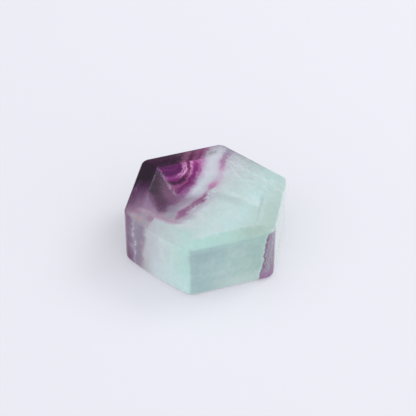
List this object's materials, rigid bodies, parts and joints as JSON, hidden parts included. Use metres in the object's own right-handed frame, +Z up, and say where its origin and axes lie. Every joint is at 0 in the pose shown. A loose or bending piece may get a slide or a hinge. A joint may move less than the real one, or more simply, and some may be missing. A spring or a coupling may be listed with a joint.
{
  "type": "polished fluorite hexagon",
  "caption": "Polished hexagonal tablet of see-through banded fluorite, purple to pale green, with upright walls and a shallow bevel round a flat table.",
  "frame": {"origin": "centre of the outline, on the flat base", "axes": "+Z up from the base to the table, +Y towards the wall behind, which faces 90 degrees, -Y towards the front wall; a corner lies on each of +X and -X"},
  "size_m": [0.0294, 0.026, 0.0111],
  "materials": {
    "banded_fluorite": "hand-polished, see-through, banded from dark purple through white to pale green"
  },
  "bodies": {
    "root": {"fluorite_hexagon": "banded_fluorite"}
  },
  "joints": []
}
